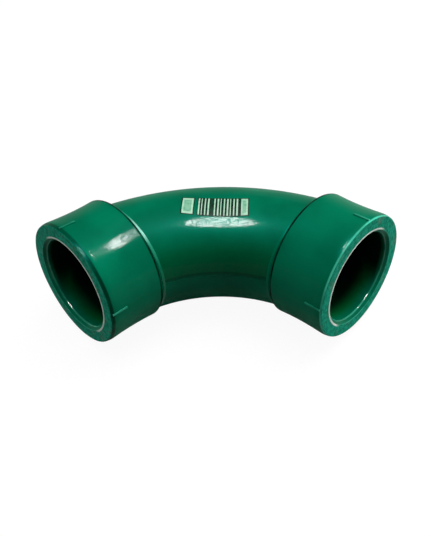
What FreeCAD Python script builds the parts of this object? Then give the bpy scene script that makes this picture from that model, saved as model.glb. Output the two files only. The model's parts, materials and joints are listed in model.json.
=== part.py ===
import FreeCAD, Part
import math
import os

from FreeCAD import Vector

# One moulded ninety-degree sweep bend with a pipe socket at each end.
# Lengths are millimetres. The bend is built around the corner where the two
# socket lines cross: socket A opens towards -Y, socket B towards +X, and the
# middle line of the tube lies in the plane Z = 0. Socket A's half is drawn
# first. The same half turned over is socket B's, as the bend is symmetrical.

# Sockets. The pipe is melted in, so the bore is a little tighter than the pipe.
pipe_diameter = 32.0
fusion_grip = 0.35
socket_depth = 18.0
lead_in = 1.1
lip_radius = 0.35

# Curved tube. Its passage is narrower than the socket, which leaves a step for
# the pipe's end to stop against.
bend_radius = 57.0
stop_step = 2.45
tube_wall = 6.2

# Collars around the sockets. Their rear stands a step proud of the tube, and
# they draw in a little from there to the crown near the mouth.
collar_step = 2.4
collar_draft = 0.35
waist_curve_radius = 110.0
stop_wall = 2.1
arc_inside_collar = 11.5
crown_radius = 6.0
crown_setback = 2.2
mouth_edge_radius = 0.3
rear_edge_radius = 0.9
root_radius = 0.6

# Raised marks at the quarters of each mouth
mark_count = 4
mark_length = 5.4
mark_width = 0.6
mark_height = 0.3
mark_footing = 0.6
mark_setback = 0.5

# Fine ridge that the mould's parting plane leaves along the tube
ridge_width = 0.3
ridge_height = 0.15

# Worked out from the sizes above
socket_radius = pipe_diameter / 2 - fusion_grip
passage_radius = socket_radius - stop_step
tube_radius = passage_radius + tube_wall
rear_radius = tube_radius + collar_step
mouth_radius = rear_radius - collar_draft
collar_length = socket_depth + stop_wall
rear_distance = bend_radius - arc_inside_collar
mouth_distance = rear_distance + collar_length
floor_distance = mouth_distance - socket_depth
lip_run = lip_radius * (math.sqrt(2) - 1)

corner = Vector(0, 0, 0)
up = Vector(0, 0, 1)
socket_line = Vector(0, -1, 0)
arc_centre = Vector(bend_radius, -bend_radius, 0)
turn_over_line = Vector(1, -1, 0)
half_turn = 45
same_place = 1e-4


def at(distance, radius):
    """A point beside socket A's line, in the plane of the bend."""
    return socket_line * distance + Vector(radius, 0, 0)


def turned(edges):
    """The solid that a half section makes when it turns about socket A's line."""
    section = Part.Face(Part.Wire(edges))
    return section.revolve(corner, socket_line, 360)


def line(first, second):
    return Part.LineSegment(first, second).toShape()


def polyline(points):
    return [line(first, second) for first, second in zip(points, points[1:])]


def bent_rod(radius):
    """A round rod along socket A's half of the tube's arc."""
    start = at(bend_radius, 0)
    disc = Part.Face(Part.Wire(Part.Circle(start, socket_line, radius).toShape()))
    return disc.revolve(arc_centre, up, -half_turn)


def toward(start, goal, distance):
    """The point reached from one point by going a distance toward another."""
    return start + (goal - start).normalize() * distance


def short_arc(middle, radius, first, last):
    """The shorter arc between two points of a circle."""
    halfway = toward(middle, (first + last) * 0.5, radius)
    return Part.Arc(first, halfway, last).toShape()


def third_corner(first, first_reach, second, second_reach):
    """The outer point at given distances from two points beside the socket's line."""
    base = second - first
    span = base.Length
    step = (span ** 2 + first_reach ** 2 - second_reach ** 2) / (2 * span)
    rise = math.sqrt(first_reach ** 2 - step ** 2)
    foot = toward(first, second, step)
    return foot + up.cross(base).normalize() * rise


def collar():
    """The outside of one collar: a thick ring with a shallow waist.

    The waist is a wide hollow curve. It runs smoothly into the rounded rear edge
    and into a gently rounded crown, which falls a little to the mouth's own edge.
    """
    rear = at(rear_distance + rear_edge_radius, rear_radius - rear_edge_radius)
    crown = at(mouth_distance - crown_setback, mouth_radius - crown_radius)
    crown_reach = crown_radius - mouth_edge_radius
    mouth_run = crown_setback - mouth_edge_radius
    mouth_rise = math.sqrt(crown_reach ** 2 - mouth_run ** 2)
    mouth = crown + socket_line * mouth_run + Vector(mouth_rise, 0, 0)
    hollow = third_corner(
        rear, waist_curve_radius + rear_edge_radius, crown, waist_curve_radius + crown_radius
    )
    rear_flat = at(rear_distance, rear_radius - rear_edge_radius)
    mouth_flat = mouth + socket_line * mouth_edge_radius
    waist_start = toward(rear, hollow, rear_edge_radius)
    waist_end = toward(crown, hollow, crown_radius)
    crown_end = toward(crown, mouth, crown_radius)
    curves = [
        short_arc(rear, rear_edge_radius, rear_flat, waist_start),
        short_arc(hollow, waist_curve_radius, waist_start, waist_end),
        short_arc(crown, crown_radius, waist_end, crown_end),
        short_arc(mouth, mouth_edge_radius, crown_end, mouth_flat),
    ]
    rest = polyline([mouth_flat, at(mouth_distance, 0), at(rear_distance, 0), rear_flat])
    return turned(curves + rest)


def socket_space():
    """The space that a pipe's end fills: a straight bore with a lead-in at its mouth.

    The lead-in is as wide as it is deep, and the lip between it and the bore is rounded.
    """
    beyond = mouth_distance + lead_in
    lip = at(mouth_distance - lead_in, socket_radius)
    face_edge = at(mouth_distance, socket_radius + lead_in)
    wall_end = at(mouth_distance - lead_in - lip_run, socket_radius)
    cone_start = toward(lip, face_edge, lip_run)
    lip_centre = wall_end + Vector(lip_radius, 0, 0)
    wall = polyline([at(floor_distance, 0), at(floor_distance, socket_radius), wall_end])
    rounding = short_arc(lip_centre, lip_radius, wall_end, cone_start)
    rest = polyline([
        cone_start,
        face_edge,
        at(beyond, socket_radius + lead_in),
        at(beyond, 0),
        at(floor_distance, 0),
    ])
    return turned(wall + [rounding] + rest)


def quarter_marks():
    """Short raised lines on the collar, one at each quarter of its mouth."""
    bar = Part.makeBox(mark_width, mark_length, mark_footing + mark_height)
    far_end = mouth_distance - mark_setback
    bar.translate(Vector(-mark_width / 2, -far_end, mouth_radius - mark_footing))
    marks = []
    for quarter in range(mark_count):
        mark = bar.copy()
        mark.rotate(corner, socket_line, 360 * quarter / mark_count)
        marks.append(mark)
    return marks


def parting_ridge():
    """A thin slice of a slightly thicker tube, in the plane of the bend."""
    reach = 2 * mouth_distance
    slab = Part.makeBox(reach, reach, ridge_width)
    slab.translate(Vector(-reach / 2, -mouth_distance, -ridge_width / 2))
    return bent_rod(tube_radius + ridge_height).common(slab)


def is_on_tube(point):
    """Whether a point lies on the tube's outer surface."""
    from_arc = math.hypot(point.x - arc_centre.x, point.y - arc_centre.y) - bend_radius
    return abs(math.hypot(from_arc, point.z) - tube_radius) < same_place


def root_edges(body):
    """The edges where the tube runs into the rear of the collar."""
    found = []
    for edge in body.Edges:
        middle = edge.valueAt((edge.FirstParameter + edge.LastParameter) / 2)
        past_rear = -middle.y - rear_distance
        if is_on_tube(middle) and -same_place < past_rear < rear_edge_radius:
            found.append(edge)
    return found


def rest_tilt():
    """How far the bend tips back until the tube touches the ground behind the collars.

    Along the mirror line of the bend, the tube's lowest point and the centres of
    the two rounded rear edges lie at known distances from the corner. The bend
    rests where both are equally low.
    """
    tube_run = (math.sqrt(2) - 1) * bend_radius
    edge_run = (rear_distance + rear_edge_radius) / math.sqrt(2)
    run = edge_run - tube_run
    drop = tube_radius - rear_edge_radius
    edge_ring = rear_radius - rear_edge_radius
    square = run ** 2 + edge_ring ** 2 / 2
    root = math.sqrt((run * drop) ** 2 + square * (edge_ring ** 2 - drop ** 2))
    return math.degrees(math.asin((root - run * drop) / square))


def half_bend():
    """Socket A's half: tube, collar, ridge and marks around one clear way through."""
    outside = bent_rod(tube_radius).fuse(collar())
    outside = outside.makeFillet(root_radius, root_edges(outside))
    outside = outside.multiFuse([parting_ridge()] + quarter_marks())
    return outside.cut([bent_rod(passage_radius), socket_space()])


def pipe_bend():
    """The whole moulding, in the plane of its own bend."""
    half = half_bend()
    other_half = half.copy()
    other_half.rotate(corner, turn_over_line, 180)
    return half.fuse(other_half).removeSplitter()


def laid_down(shape):
    """The part as it comes to rest: tipped back, on the ground, centred on the origin."""
    laid = shape.copy()
    laid.rotate(corner, Vector(-1, -1, 0), rest_tilt())
    box = laid.optimalBoundingBox()
    laid.translate(Vector(-box.Center.x, -box.Center.y, -box.ZMin))
    return laid


os.makedirs("parts", exist_ok=True)
bend = laid_down(pipe_bend())
bend.exportStep("parts/pipe_bend.step")

box = bend.optimalBoundingBox()
print("valid", bend.isValid(), "solids", len(bend.Solids), "faces", len(bend.Faces))
print("volume", round(bend.Volume), "tipped back by", round(rest_tilt(), 2), "degrees")
print("centre of mass", bend.Solids[0].CenterOfMass)
print("size", round(box.XLength, 2), round(box.YLength, 2), round(box.ZLength, 2))
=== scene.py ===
# %% [markdown]
# # A moulded pipe bend
# The object is one piece of green plastic: a tube that sweeps through a right
# angle, with a thick collar and a round socket at each end. Its solid was drawn
# in CAD, so nothing of its main shape is modelled again here. This lesson gives it
# its plastic finish with the wear of a part from the shelf and some painted light
# and shade, adds the fine bead behind each collar, prints the pale bars on its
# back, and sets up the studio.

# %% Load the solid
import bmesh
import bpy
import json
import math
from mathutils import Matrix, Quaternion, Vector


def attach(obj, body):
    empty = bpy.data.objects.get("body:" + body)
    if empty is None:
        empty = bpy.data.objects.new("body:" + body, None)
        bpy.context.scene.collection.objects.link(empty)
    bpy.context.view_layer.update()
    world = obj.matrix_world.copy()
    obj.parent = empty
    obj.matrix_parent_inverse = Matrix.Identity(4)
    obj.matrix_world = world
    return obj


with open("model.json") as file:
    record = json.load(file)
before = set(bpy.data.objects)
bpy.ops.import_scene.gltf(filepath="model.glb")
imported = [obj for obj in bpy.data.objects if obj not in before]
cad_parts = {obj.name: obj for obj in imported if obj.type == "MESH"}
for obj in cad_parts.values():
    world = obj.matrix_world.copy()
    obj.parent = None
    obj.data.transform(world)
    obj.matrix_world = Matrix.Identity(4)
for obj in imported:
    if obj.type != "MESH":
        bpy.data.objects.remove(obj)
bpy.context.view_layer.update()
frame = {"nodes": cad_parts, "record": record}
bend = frame["nodes"]["pipe_bend"]
print("the solid has", len(bend.data.polygons), "triangles")

# %% [markdown]
# ## Where the sockets lie
# The part's record states each socket as a point on its line and a direction.
# The rest follows from those two lines: they cross at the corner of the bend, and
# the middle line of the tube is an arc that touches both. Taken from the record,
# the lips, the print and the finish stay on the part when it moves.

# %% Read the socket lines
BEND_RADIUS = 0.057
TUBE_RADIUS = 0.0194
PASSAGE_RADIUS = 0.0132
COLLAR_LENGTH = 0.0201
SOCKET_DEPTH = 0.0180
LEAD_IN = 0.0011
LIP_RUN = 0.00035 * (math.sqrt(2) - 1)

ports = {mount["name"]: mount for mount in frame["record"]["mounts"]}
middle_a, middle_b = (Vector(ports[name]["pos_m"]) for name in ("port_a", "port_b"))
way_a, way_b = (Vector(ports[name]["axis"]).normalized() for name in ("port_a", "port_b"))
SOCKET_RADIUS = ports["port_a"]["dims"]["r_mm"] / 1000
SOCKET_WALL = ports["port_a"]["dims"]["length_mm"] / 1000

corner = middle_a - way_a * (middle_a - middle_b).dot(way_a)
MOUTH = (middle_a - corner).length + SOCKET_WALL / 2 + LIP_RUN + LEAD_IN
arc_centre = corner + (way_a + way_b) * BEND_RADIUS
bend_up = way_a.cross(way_b).normalized()
back_way = (corner - arc_centre).normalized()
print("corner of the bend", [round(v, 4) for v in corner], "mouths", round(MOUTH, 4), "m from it")

# %% [markdown]
# ## Arithmetic on shader sockets
# A procedural finish is mostly sums: distances, masks and mixes. Adding a Math
# node for each sum by hand is slow to write and to read. This small class wraps a
# socket, and Python's own signs add the nodes.

# %% A socket that can be added, multiplied and compared


class Value:
    """A number that changes over the surface."""

    def __init__(self, tree, socket):
        self.tree = tree
        self.socket = socket

    def math(self, operation, *numbers):
        return self.tree.value("ShaderNodeMath", {"operation": operation}, dict(enumerate(numbers)))

    def __add__(self, other):
        return self.math("ADD", self, other)

    def __sub__(self, other):
        return self.math("SUBTRACT", self, other)

    def __rsub__(self, other):
        return self.math("SUBTRACT", other, self)

    def __mul__(self, other):
        return self.math("MULTIPLY", self, other)

    __radd__ = __add__
    __rmul__ = __mul__

    def root(self):
        return self.math("SQRT", self)

    def at_least(self, other):
        return self.math("MAXIMUM", self, other)

    def at_most(self, other):
        return self.math("MINIMUM", self, other)

    def ramp(self, low, high):
        """0 below low, 1 above high, and a smooth step between them."""
        inputs = {"Value": self, "From Min": low, "From Max": high}
        return self.tree.value("ShaderNodeMapRange", {"interpolation_type": "SMOOTHSTEP"}, inputs)

    def band(self, low, high, edge):
        """1 between low and high, with edges of a given width outside them, and 0 beyond."""
        return self.ramp(low - edge, low) * (1 - self.ramp(high, high + edge))


# %% [markdown]
# ## Trees and finishes
# Materials and the world are both trees of nodes, so one class adds the nodes of
# all of them. A finish is a tree with one Principled shader. What is the same all
# over is set on the shader's own sockets, and only what varies is linked, which
# keeps the material light and lets it be baked.

# %% A tree of shader nodes


class Tree:
    """A tree of shader nodes, and the only way that this script adds nodes to one."""

    def __init__(self, owner):
        owner.use_nodes = True
        self.nodes = owner.node_tree.nodes
        self.links = owner.node_tree.links

    def feed(self, socket, value):
        if isinstance(value, Value):
            value = value.socket
        if isinstance(value, bpy.types.NodeSocket):
            self.links.new(value, socket)
        else:
            socket.default_value = value

    def node(self, kind, settings, inputs):
        made = self.nodes.new(kind)
        for name, value in settings.items():
            setattr(made, name, value)
        for name, value in inputs.items():
            self.feed(made.inputs[name], value)
        return made

    def value(self, kind, settings, inputs, output=0):
        return Value(self, self.node(kind, settings, inputs).outputs[output])

    def vector(self, operation, *inputs):
        node = self.node("ShaderNodeVectorMath", {"operation": operation}, dict(enumerate(inputs)))
        return node.outputs["Vector"]

    def measure(self, operation, *inputs):
        """A number from vectors, such as a length or a dot product."""
        settings = {"operation": operation}
        return self.value("ShaderNodeVectorMath", settings, dict(enumerate(inputs)), "Value")

    def mix(self, share, first, second):
        """A colour that goes from the first to the second as share goes from 0 to 1."""
        made = self.node("ShaderNodeMix", {"data_type": "RGBA"}, {0: share, 6: first, 7: second})
        return made.outputs[2]

    def paint_over(self, colour, *layers):
        """A colour with others laid over it in turn, each by its own share."""
        for share, layer in layers:
            colour = self.mix(share, colour, layer)
        return colour

    def looks(self):
        """Two numbers: 1 for rays that look straight here or through something, and 1 for mirrored ones."""
        path = self.node("ShaderNodeLightPath", {}, {})
        names = ("Is Camera Ray", "Is Transmission Ray", "Is Glossy Ray")
        seen, through, mirrored = (Value(self, path.outputs[name]) for name in names)
        return seen.at_least(through), mirrored


# %% A finish


class Finish(Tree):
    """A material of one Principled shader, or of two that a mask mixes."""

    def __init__(self, name, **sockets):
        self.material = bpy.data.materials.new(name)
        super().__init__(self.material)
        self.shader = self.nodes["Principled BSDF"]
        self.set(self.shader, **sockets)

    def set(self, shader, **sockets):
        """Sets or links sockets of a shader, which are named as in coat_weight."""
        titles = {name.lower().replace(" ", "_"): name for name in shader.inputs.keys()}
        for name, value in sockets.items():
            self.feed(shader.inputs[titles[name]], value)

    def second_shader(self, share, **sockets):
        """Another Principled shader, which shows where share is 1."""
        other = self.node("ShaderNodeBsdfPrincipled", {}, {})
        self.set(other, **sockets)
        inputs = {0: share, 1: self.shader.outputs[0], 2: other.outputs[0]}
        mixed = self.node("ShaderNodeMixShader", {}, inputs)
        self.feed(self.nodes["Material Output"].inputs["Surface"], mixed.outputs[0])
        return other

    def place(self):
        """The point of the part that is being shaded, in the part's own frame."""
        return self.node("ShaderNodeTexCoord", {}, {}).outputs["Object"]

    def noise(self, size, detail=2.0):
        """Clouds of a given size in metres, from 0 to 1."""
        inputs = {"Vector": self.place(), "Scale": 1 / size, "Detail": detail}
        return self.value("ShaderNodeTexNoise", {}, inputs, "Fac")

    def bump(self, height, strength, distance):
        """The normal of a surface that a height roughens."""
        inputs = {"Strength": strength, "Distance": distance, "Height": height}
        return self.node("ShaderNodeBump", {}, inputs).outputs["Normal"]


def paint(red, green, blue):
    """A colour as a picture shows it, from 0 to 255, in the linear light that shaders use."""
    shares = [part / 255 for part in (red, green, blue)]
    return [s / 12.92 if s <= 0.04045 else ((s + 0.055) / 1.055) ** 2.4 for s in shares] + [1.0]


# %% [markdown]
# ## The plastic
# Injection-moulded polypropylene shows two kinds of gloss at once. Its skin copied
# a polished mould, so it mirrors lamps sharply, and the milky plastic under it
# spreads the same light into a wide green glow. The shader's own gloss, tinted
# green, is the glow, and a coat over it is the skin. Fine grain in the coat's
# strength breaks the mirrored lamps into specks. Backs and undersides rubbed on
# tables and on each other, so the coat is strongest where the surface faces up and
# towards the inner side of the bend.

# %% The green plastic
GREEN = paint(0, 118, 84)
DEEP_GREEN = paint(0, 104, 73)
GRAIN_SIZE = 0.00064
LEAST_COAT = 0.025
GRAIN_COAT = 0.13
POLISHED_WAY = (0.45, -0.30, 0.84)
WORN_SHARE = 0.12

plastic = Finish(
    "green_plastic_finish", roughness=0.38, specular_tint=(0.0, 1.0, 0.8, 1.0),
    specular_ior_level=0.04, coat_roughness=0.09)
clouds = plastic.noise(0.02, 3.0).ramp(0.35, 0.65)
patchy = plastic.noise(0.006, 3.0).ramp(0.35, 0.6)
grain = plastic.noise(GRAIN_SIZE)
green = plastic.mix(clouds, GREEN, DEEP_GREEN)

facing = plastic.node("ShaderNodeNewGeometry", {}, {}).outputs["Normal"]
polished = plastic.measure("DOT_PRODUCT", facing, POLISHED_WAY).ramp(0.45, 0.85)
skin = (LEAST_COAT + grain.ramp(0.44, 0.56) * GRAIN_COAT) * (WORN_SHARE + polished * (1 - WORN_SHARE))
print("without its masks the plastic has", len(plastic.nodes), "nodes")

# %% [markdown]
# ## Where the wear and the painted light lie
# Each mask follows a circle about a socket's line, so it is told from two
# numbers: how deep a point lies behind the mouth, and how far beside the line.
# Pale lines are partly plastic that was rubbed white along an edge, most of all on
# the near side, which faces up and towards the other socket, and partly painted
# highlight where lamps glint on the edges. Dark lines are painted shade on the
# roundings and in the corners. The bore is painted darker as shade: its upper part
# from close behind the mouth, and its lower part, where light falls in, only
# farther down.

# %% Masks about one socket
COLLAR_SIDE = 0.0200
COLLAR_CREST = 0.02145
MARK_END = 0.0059
FACE_EDGE = SOCKET_RADIUS + LEAD_IN
NEAR_RISE = math.radians(35)
THIN = 0.0001


def leaning(other, rise):
    """A direction square to a socket's line, from the other socket's way up to the top of the bend."""
    return other * math.cos(rise) + bend_up * math.sin(rise)


def long_side(first, second):
    """The long side of a right triangle with these two short sides."""
    return (first * first + second * second).root()


def socket_masks(finish, way, other):
    """The masks of a socket's face, its pale edges of wear and painted highlight, its dark lines and bore
    of painted shade, and the marks beside it.
    """
    from_mouth = finish.vector("SUBTRACT", finish.place(), corner + way * MOUTH)
    depth = finish.measure("DOT_PRODUCT", from_mouth, -way)
    beside = finish.measure("LENGTH", finish.vector("CROSS_PRODUCT", from_mouth, way))
    high = finish.measure("DOT_PRODUCT", from_mouth, bend_up).ramp(-0.0130, -0.0030)
    near = finish.measure("DOT_PRODUCT", from_mouth, leaning(other, NEAR_RISE)).ramp(-0.0010, 0.0030)
    outside = beside.ramp(COLLAR_SIDE - 2 * THIN, COLLAR_SIDE + 2 * THIN)
    on_face = 1 - depth.ramp(2 * THIN, 3 * THIN)
    before_floor = 1 - depth.ramp(SOCKET_DEPTH + 0.0005, SOCKET_DEPTH + 0.0010)
    in_bore = before_floor * (1 - beside.ramp(SOCKET_RADIUS + 0.00015, SOCKET_RADIUS + 0.00035))
    proud = beside.ramp(COLLAR_CREST + 0.00008, COLLAR_CREST + 0.00016)
    dark = depth.ramp(0.0030, 0.0090).at_least(high)
    return {
        "near_side": near,
        "face": 1 - depth.ramp(0.00004, 0.00014),
        "face_edge": beside.band(FACE_EDGE - 0.00008, FACE_EDGE + 0.00008, 0.00012) * on_face,
        "face_rim": beside.band(FACE_EDGE - 0.00015, FACE_EDGE + 0.00050, THIN) * on_face * near,
        "lip": 1 - long_side(depth - LEAD_IN, beside - SOCKET_RADIUS).ramp(0.00022, 0.00040),
        "bore": depth.ramp(0.0014, 0.0050) * in_bore,
        "deep": depth.ramp(0.0015, 0.0030).at_most(dark) * in_bore,
        "mouth_edge": (1 - depth.ramp(0.0004, 0.0008)) * outside,
        "shaded_edge": depth.band(0.0004, 0.0010, 0.0005) * outside,
        "crown": (1 - depth.ramp(0.0014, 0.0022)) * outside,
        "mark": proud * (1 - depth.ramp(MARK_END + THIN, MARK_END + 3 * THIN)),
        "rear_edge": depth.band(COLLAR_LENGTH - 0.0010, COLLAR_LENGTH - 0.0005, 0.0002) * outside,
        "collar": 1 - depth.ramp(COLLAR_LENGTH, COLLAR_LENGTH + 0.0002),
    }


masks_a = socket_masks(plastic, way_a, way_b)
masks_b = socket_masks(plastic, way_b, way_a)


def both(name):
    """A mask about both sockets."""
    return masks_a[name] + masks_b[name]


print("each socket has", len(masks_a), "masks")

# %% [markdown]
# ## Where dark lines and painted shade lie on the tube
# The mould's two halves met in the plane of the bend and left a fine ridge on the
# tube. A dark line is painted along it on the inner side, and painted shade
# darkens the hollow above, where the tube turns away from the lamps. The passage is
# told by its distance from the tube's middle line, and hardly any light gets in
# there, so it is painted nearly black as shade.

# %% Masks along the tube
INNER_LINE = BEND_RADIUS - TUBE_RADIUS

above_plane = plastic.measure(
    "DOT_PRODUCT", plastic.vector("SUBTRACT", plastic.place(), corner), bend_up)
from_centre = plastic.measure("DISTANCE", plastic.place(), arc_centre)
off_arc = (from_centre * from_centre - above_plane * above_plane).root() - BEND_RADIUS
passage = 1 - long_side(off_arc, above_plane).ramp(PASSAGE_RADIUS + 0.0013, PASSAGE_RADIUS + 0.0018)

bare_tube = 1 - both("collar")
innermost = 1 - from_centre.ramp(INNER_LINE + 0.0009, INNER_LINE + 0.0024)
inner_side = 1 - from_centre.ramp(INNER_LINE + 0.0024, INNER_LINE + 0.0114)
ridge_dark_line = above_plane.band(0.0003, 0.0012, 0.0006) * innermost * bare_tube
hollow = above_plane.ramp(0.0, 0.0020) * (1 - above_plane.ramp(0.0060, 0.0180))
core_shade = hollow * inner_side * bare_tube
print("with its masks the plastic has", len(plastic.nodes), "nodes")

# %% Wear and painted light on the moulding
LIP_WEAR_AND_SHEEN = paint(228, 238, 230)
PALE_WEAR_AND_SHEEN = paint(60, 172, 142)
RIM_HIGHLIGHT = paint(76, 206, 172)
DARK_LINE = paint(0, 34, 20)
CORE_SHADE_GREEN = paint(0, 84, 42)
BORE_SHADE_GREEN = paint(2, 100, 44)
PAINTED_SHADE_DARK = paint(0, 14, 6)

shaded_edge_b = masks_b["shaded_edge"] * (1 - masks_b["near_side"])
rim_highlight_b = masks_b["mouth_edge"] * masks_b["near_side"]
lips = both("lip")
green = plastic.paint_over(
    green,
    # painted shade: the bore darker with depth, and nearly black deep inside and in the passage
    (both("bore") * 0.9, BORE_SHADE_GREEN),
    ((both("deep") + passage).at_most(1) * 0.93, PAINTED_SHADE_DARK),
    # painted shade on the roundings just behind both mouths
    (masks_a["shaded_edge"] * (0.6 + patchy * 0.3) + shaded_edge_b * (0.5 + patchy * 0.3), DARK_LINE),
    # painted highlight along the near side of socket B's mouth edge
    (rim_highlight_b * (0.6 + patchy * 0.4), RIM_HIGHLIGHT),
    # painted shade on the rounding and in the corner at the rear of each collar
    (both("rear_edge") * (0.7 + patchy * 0.3), PAINTED_SHADE_DARK),
    # painted shade in the hollow of the tube's inner side
    (core_shade * 0.7, CORE_SHADE_GREEN),
    # a dark line painted along the ridge
    (ridge_dark_line * 0.5, DARK_LINE),
    # marks and lips: partly rubbed pale plastic, partly painted highlight
    (both("mark") * (0.3 + patchy * 0.4), PALE_WEAR_AND_SHEEN),
    (lips * (0.35 + patchy * 0.4), PALE_WEAR_AND_SHEEN))

rubbed_crowns = (1 - masks_a["crown"] * 0.85) * (1 - masks_b["crown"] * 0.7)
plastic.set(
    plastic.shader, base_color=green, normal=plastic.bump(grain, 0.15, 0.0002),
    coat_weight=skin * rubbed_crowns + lips * 0.6)

# %% [markdown]
# ## The cut faces
# The flat ring at each mouth is duller and greyer than the rest: it was rubbed in
# handling, and a few brownish smudges stuck to it. It has next to no gloss, which
# takes a shader of its own. The mask stops where the rounded edge starts.

# %% Rubbed faces
FACE_GREEN = paint(24, 160, 130)
FACE_DEEP = paint(4, 118, 90)
SMUDGE = paint(124, 116, 102)

mottle = plastic.noise(0.0011, 4.0).ramp(0.3, 0.7)
smudges = plastic.noise(0.005, 5.0).ramp(0.54, 0.7)
rubbed = plastic.paint_over(
    plastic.mix(mottle, FACE_DEEP, FACE_GREEN),
    (smudges * 0.3, SMUDGE),
    # painted highlight along the faces' inner edges, partly rubbed plastic
    (both("face_edge") * (0.4 + patchy * 0.5), PALE_WEAR_AND_SHEEN),
    # pale line at the near side's inner rim: partly rubbed white plastic, partly painted highlight
    (both("face_rim") * (0.75 + patchy * 0.25), LIP_WEAR_AND_SHEEN))
plastic.second_shader(
    both("face"), base_color=rubbed, roughness=0.6, specular_ior_level=0.04,
    specular_tint=(0.2, 1.0, 0.8, 1.0), normal=plastic.bump(mottle, 0.3, 0.0003))

bend.material_slots[0].material = plastic.material
print("in all the plastic has", len(plastic.nodes), "nodes")

# %% [markdown]
# ## Skins that follow the tube
# The bead behind each collar and the printed bars both lie on the tube. The tube is
# part of a ring, so a patch of its surface is two spins: a point turned about the
# tube's middle line draws a line across the tube, and that line turned about the
# centre of the bend sweeps the patch. Flat cuts trim the patch, and a wall gives it
# its thickness.

# %% A finished object


def make_piece(name, mesh, finish):
    """The finished object that a bmesh is turned into."""
    data = bpy.data.meshes.new(name)
    mesh.to_mesh(data)
    mesh.free()
    data.materials.append(finish.material)
    piece = bpy.data.objects.new(name, data)
    bpy.context.scene.collection.objects.link(piece)
    print(name, "has", len(data.polygons), "faces")
    return piece


# %% A trimmed patch of the tube
STEPS_ACROSS = 64
STEPS_ALONG = 24
FULL_TURN = (0.0, math.tau)


def tube_patch(mesh, turns, rises, lift):
    """A patch of the tube's surface, lifted a little.

    It reaches along the bend between two turns, which are counted from its middle, and
    across the tube between two rises, which are counted from its outermost line.
    """
    outward = Matrix.Rotation(-turns[0], 3, bend_up) @ back_way
    tube_middle = arc_centre + outward * BEND_RADIUS
    along_tube = bend_up.cross(outward)
    first_way = outward * math.cos(rises[0]) + bend_up * math.sin(rises[0])
    first = tube_middle + first_way * (TUBE_RADIUS + lift)
    point = bmesh.ops.create_vert(mesh, co=first)["vert"]
    bmesh.ops.spin(
        mesh, geom=point, cent=tube_middle, axis=-along_tube, angle=rises[1] - rises[0],
        steps=STEPS_ACROSS, use_merge=rises == FULL_TURN)
    bmesh.ops.spin(
        mesh, geom=mesh.verts[:] + mesh.edges[:], cent=arc_centre, axis=-bend_up,
        angle=turns[1] - turns[0], steps=STEPS_ALONG)


def keep_between(mesh, point, way, low, high):
    """Trims a mesh to the part between two flat cuts across a direction."""
    for reach, off in ((low, -way), (high, way)):
        bmesh.ops.bisect_plane(
            mesh, geom=mesh.verts[:] + mesh.edges[:] + mesh.faces[:],
            plane_co=point + way * reach, plane_no=off, clear_outer=True)


def thicken(mesh, thickness):
    """Gives an open skin a wall and turns its faces outwards."""
    bmesh.ops.recalc_face_normals(mesh, faces=mesh.faces)
    bmesh.ops.solidify(mesh, geom=mesh.faces[:], thickness=thickness)
    bmesh.ops.recalc_face_normals(mesh, faces=mesh.faces)


# %% [markdown]
# ## The beads behind the collars
# Where the tube runs into a collar, a fine bead goes round it, and it is the
# brightest line on the part wherever a lamp meets it. A narrow band of the tube,
# cut parallel to the collar and given a wall with rounded edges, is that bead. The
# top of socket A's bead is painted pale and cyan as a highlight, and socket B's is
# painted a little darker as shade.

# %% Both beads
BEAD_NEAR = 0.0003
BEAD_FAR = 0.0011
BEAD_HEIGHT = 0.00026
BEAD_SINK = 0.0001
BEAD_EDGE = 0.00014
SHARP_TURN = 1.0
TURN_NEAR = math.radians(38)
TURN_FAR = math.radians(24)
TOP_RISE = math.radians(55)
BEAD_GLINT = paint(170, 224, 208)
REAR_DISTANCE = MOUTH - COLLAR_LENGTH

bead_finish = Finish(
    "bead_plastic", roughness=0.3, specular_ior_level=0.12,
    specular_tint=(0.0, 1.0, 0.8, 1.0), coat_roughness=0.1)
top_of_a = corner + way_a * REAR_DISTANCE + leaning(way_b, TOP_RISE) * TUBE_RADIUS
from_top = bead_finish.measure("DISTANCE", bead_finish.place(), top_of_a)
specks = bead_finish.noise(0.002)
# painted highlight on the top of socket A's bead, and painted shade on socket B's
painted_glint = (1 - from_top.ramp(0.0015, 0.0065)) * (0.5 + specks * 0.5)
painted_sheen = (1 - from_top.ramp(0.0060, 0.0150)) * 0.6
from_corner = bead_finish.vector("SUBTRACT", bead_finish.place(), corner)
bead_b_shade = bead_finish.measure("DOT_PRODUCT", from_corner, way_b).ramp(0.030, 0.035)
bead_green = bead_finish.paint_over(
    GREEN, (painted_sheen, PALE_WEAR_AND_SHEEN), (bead_b_shade * 0.15, DARK_LINE), (painted_glint, BEAD_GLINT))
bead_finish.set(
    bead_finish.shader, base_color=bead_green, coat_weight=(0.15 + specks * 0.3) * (1 - bead_b_shade))

bead_turns = {"bead_a": (way_a, (-TURN_NEAR, -TURN_FAR)), "bead_b": (way_b, (TURN_FAR, TURN_NEAR))}
for name, (way, turns) in bead_turns.items():
    mesh = bmesh.new()
    tube_patch(mesh, turns, FULL_TURN, -BEAD_SINK)
    keep_between(mesh, corner, way, REAR_DISTANCE - BEAD_FAR, REAR_DISTANCE - BEAD_NEAR)
    thicken(mesh, -BEAD_SINK - BEAD_HEIGHT)
    sharp = [edge for edge in mesh.edges if edge.is_manifold and edge.calc_face_angle() > SHARP_TURN]
    bmesh.ops.bevel(
        mesh, geom=sharp, offset=BEAD_EDGE, offset_type="OFFSET", affect="EDGES", segments=3,
        profile=0.5, material=-1, clamp_overlap=True)
    bead = make_piece(name, mesh, bead_finish)
    for face in bead.data.polygons:
        face.use_smooth = True
    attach(bead, "root")

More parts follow.
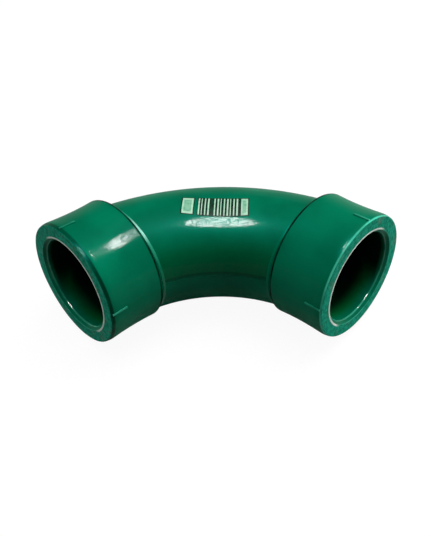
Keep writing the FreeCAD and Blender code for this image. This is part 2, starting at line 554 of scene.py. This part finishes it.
# %% [markdown]
# ## The printed bars
# A machine prints a pale block, a row of bars and a second block on the tube's
# back, over a dark ground. It prints flat, so the bars stay parallel although the
# tube turns under them: each is a patch of the tube between two parallel cuts. The
# ink has a thickness, if a small one, and is thinner in the middle of the blocks.

# %% Where the print lies
PRINT_TWIST = math.radians(4)
INK_THICKNESS = 0.00002
GROUND_LIFT = 0.00002
INK_LIFT = 0.00005
PRINT_TURNS = (math.radians(-16), math.radians(17))
PRINT_RISES = (math.radians(85), math.radians(130))

along_back = (way_b - way_a).normalized()
row_way = (along_back * math.cos(PRINT_TWIST) - back_way * math.sin(PRINT_TWIST)).normalized()
rise_way = (back_way * math.cos(PRINT_TWIST) + along_back * math.sin(PRINT_TWIST)).normalized()
back_middle = arc_centre + back_way * BEND_RADIUS


def ink_piece(name, spans, heights, lift, finish):
    """An object made of skins of ink, one for each span of the row."""
    sheet = bmesh.new()
    for low, high in spans:
        skin = bmesh.new()
        tube_patch(skin, PRINT_TURNS, PRINT_RISES, lift)
        keep_between(skin, back_middle, row_way, low, high)
        keep_between(skin, back_middle, rise_way, *heights)
        thicken(skin, INK_THICKNESS)
        data = bpy.data.meshes.new("skin")
        skin.to_mesh(data)
        skin.free()
        sheet.from_mesh(data)
        bpy.data.meshes.remove(data)
    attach(make_piece(name, sheet, finish), "root")


# %% The ground, the blocks and the bars
INK = paint(176, 222, 192)
THIN_INK = paint(104, 178, 142)
GROUND = paint(0, 62, 40)
GROUND_DEEP = paint(0, 36, 20)
GROUND_HEIGHTS = (-0.0099, -0.0026)
INK_HEIGHTS = (-0.0096, -0.0029)
THIN_HEIGHTS = (-0.0086, -0.0040)
GROUNDS = [(-0.0103, -0.0059), (-0.0050, 0.0119)]
FIRST_BLOCK = (-0.0099, -0.0063)
LAST_BLOCK = (0.0093, 0.0115)
BAR_PLACES = 13
BAR_START = -0.0047
BAR_PITCH = 0.00104
BAR_WIDTHS = (0.00050, 0.00028, 0.00040)
EMPTY_PLACE = 4

ground = Finish("dark_ground", roughness=0.5, specular_ior_level=0.04)
uneven = ground.noise(0.0015, 3.0).ramp(0.35, 0.65)
ground.set(ground.shader, base_color=ground.mix(uneven, GROUND, GROUND_DEEP))
ink_piece("printed_ground", GROUNDS, GROUND_HEIGHTS, GROUND_LIFT, ground)

ink = Finish("pale_ink", roughness=0.5, specular_ior_level=0.1)
from_middle = ink.vector("SUBTRACT", ink.place(), back_middle)
along = ink.measure("DOT_PRODUCT", from_middle, row_way)
risen = ink.measure("DOT_PRODUCT", from_middle, rise_way)
in_blocks = along.band(-0.0091, -0.0071, 0.0004) + along.band(0.0099, 0.0108, 0.0003)
thin = in_blocks * risen.band(*THIN_HEIGHTS, 0.0004) * 0.7 + ink.noise(0.0012, 3.0).ramp(0.45, 0.75) * 0.5
ink.set(ink.shader, base_color=ink.mix(thin, INK, THIN_INK))
ink_piece("printed_blocks", [FIRST_BLOCK, LAST_BLOCK], INK_HEIGHTS, INK_LIFT, ink)

bars = []
for place in range(BAR_PLACES):
    start = BAR_START + BAR_PITCH * place
    if place != EMPTY_PLACE:
        bars.append((start, start + BAR_WIDTHS[place % len(BAR_WIDTHS)]))
ink_piece("printed_bars", bars, INK_HEIGHTS, INK_LIFT, ink)

# %% [markdown]
# ## The floor
# The part lies on a white table. A white that shows as white everywhere would need
# far too much light on the part, so the floor shines by itself, but only for rays
# that look straight at it, as the camera's do. Mirrored rays meet pale paint, and
# all others a darker grey, which lights the part's underside a little. A share of
# the painted floor stays visible under the glow to keep the part's shadow.

# %% Floor
FLOOR_HALF = 4.0
GLOW_SEEN = 0.9
GLOW = 1.04
PALE = (0.85, 0.85, 0.85, 1)
MIRRORED_PALE = (0.6, 0.6, 0.6, 1)
DIM = (0.12, 0.12, 0.12, 1)

mesh = bmesh.new()
bmesh.ops.create_grid(mesh, x_segments=1, y_segments=1, size=FLOOR_HALF)
table = Finish("table_paint", roughness=1.0)
seen, mirrored = table.looks()
lit = table.mix(seen, table.mix(mirrored, DIM, MIRRORED_PALE), PALE)
table.set(table.shader, base_color=lit)
glow = table.node("ShaderNodeEmission", {}, {"Strength": GLOW}).outputs[0]
shown = table.node("ShaderNodeMixShader", {}, {0: seen * GLOW_SEEN, 1: table.shader.outputs[0], 2: glow})
table.feed(table.nodes["Material Output"].inputs["Surface"], shown.outputs[0])
make_piece("floor", mesh, table)

# %% [markdown]
# ## The light
# The glints on the part show where its lamps stood: a round one straight above, and
# a narrow one behind on the right. Two lamps give these glints and nothing else.
# Four wide boxes light the part and are never mirrored: one above, a strong one
# behind, and one low on either side. The side that faces the camera gets least,
# which is what makes the tube look round. Two lamps at the same distance hide each
# other from mirrored rays, even where one is never mirrored, so the glint lamps hang
# a little nearer than the boxes.

# %% Lamps
BOX_DISTANCE = 1.0
GLINT_DISTANCE = 0.95


def soft_box(name, direction, width, height, power, mirrored, roll=0.0):
    """A lamp that faces the part: a box that lights it, or an oval that it only mirrors."""
    light = bpy.data.lights.new(name, "AREA")
    light.shape = "ELLIPSE" if mirrored else "RECTANGLE"
    light.size = width
    light.size_y = height
    light.energy = power
    lamp = bpy.data.objects.new(name, light)
    lamp.location = Vector(direction).normalized() * (GLINT_DISTANCE if mirrored else BOX_DISTANCE)
    lamp.rotation_mode = "QUATERNION"
    lamp.rotation_quaternion = Vector(direction).to_track_quat("Z", "Y") @ Quaternion((0, 0, 1), roll)
    lamp.visible_diffuse = not mirrored
    lamp.visible_glossy = mirrored
    bpy.context.scene.collection.objects.link(lamp)
    print("lamp", name, "gives", power, "W")


soft_box("above", (-0.04, -0.05, 1.0), 0.8, 0.8, 3.2, False)
soft_box("back", (0.0, 0.5, 0.866), 0.8, 0.8, 7.6, False)
soft_box("fill_left", (-0.7, -0.7, 0.3), 0.8, 0.6, 2.6, False)
soft_box("fill_right", (0.7, 0.75, 0.2), 0.8, 0.6, 7.0, False)
soft_box("glint_above", (-0.024, -0.047, 1.0), 0.36, 0.36, 42.0, True)
soft_box("glint_behind", (0.2, 0.48, 0.853), 0.3, 0.08, 9.0, True, roll=math.radians(25))

# %% [markdown]
# ## The world
# The world is nearly dark for the light that falls on the part, because the lamps
# give that, and white wherever it is seen. A mirrored ray meets white near the
# horizon, as from a studio's pale walls, and the dark above them.

# %% World
FILL = 0.01
WALL_HEIGHT = 0.15

world = bpy.data.worlds.new("studio")
bpy.context.scene.world = world
room = Tree(world)
fill = room.nodes["Background"]
fill.inputs["Color"].default_value = (1, 1, 1, 1)
fill.inputs["Strength"].default_value = FILL
white = room.node("ShaderNodeBackground", {}, {"Color": (1, 1, 1, 1), "Strength": 1.0})
way_out = room.node("ShaderNodeTexCoord", {}, {}).outputs["Generated"]
height = room.measure("DOT_PRODUCT", way_out, (0, 0, 1))
seen, mirrored = room.looks()
walls = mirrored * (1 - height.ramp(0.0, WALL_HEIGHT))
inputs = {0: seen.at_least(walls), 1: fill.outputs[0], 2: white.outputs[0]}
sky = room.node("ShaderNodeMixShader", {}, inputs)
room.feed(room.nodes["World Output"].inputs["Surface"], sky.outputs[0])
print("the world has", len(room.nodes), "nodes")

# %% [markdown]
# ## The camera
# The camera looks down at the part from its inner side. It is placed by its own
# right and up directions, which leaves no doubt about how it is turned.

# %% Camera
CAMERA_PLACE = Vector((0.084422, -0.080045, 0.156152))
CAMERA_RIGHT = Vector((0.71195, 0.70154, -0.03095))
CAMERA_UP = Vector((-0.52622, 0.56217, 0.63801))

lens = bpy.data.cameras.new("camera")
lens.lens = 34.954
lens.sensor_width = 36.0
lens.clip_start = 0.005
camera = bpy.data.objects.new("camera", lens)
turned = Matrix((CAMERA_RIGHT, CAMERA_UP, CAMERA_RIGHT.cross(CAMERA_UP))).transposed()
camera.matrix_world = Matrix.Translation(CAMERA_PLACE) @ turned.to_4x4()
bpy.context.scene.collection.objects.link(camera)
bpy.context.scene.camera = camera
bpy.context.scene.view_settings.view_transform = "Standard"
print("the camera stands", round(CAMERA_PLACE.length, 3), "m from the part")
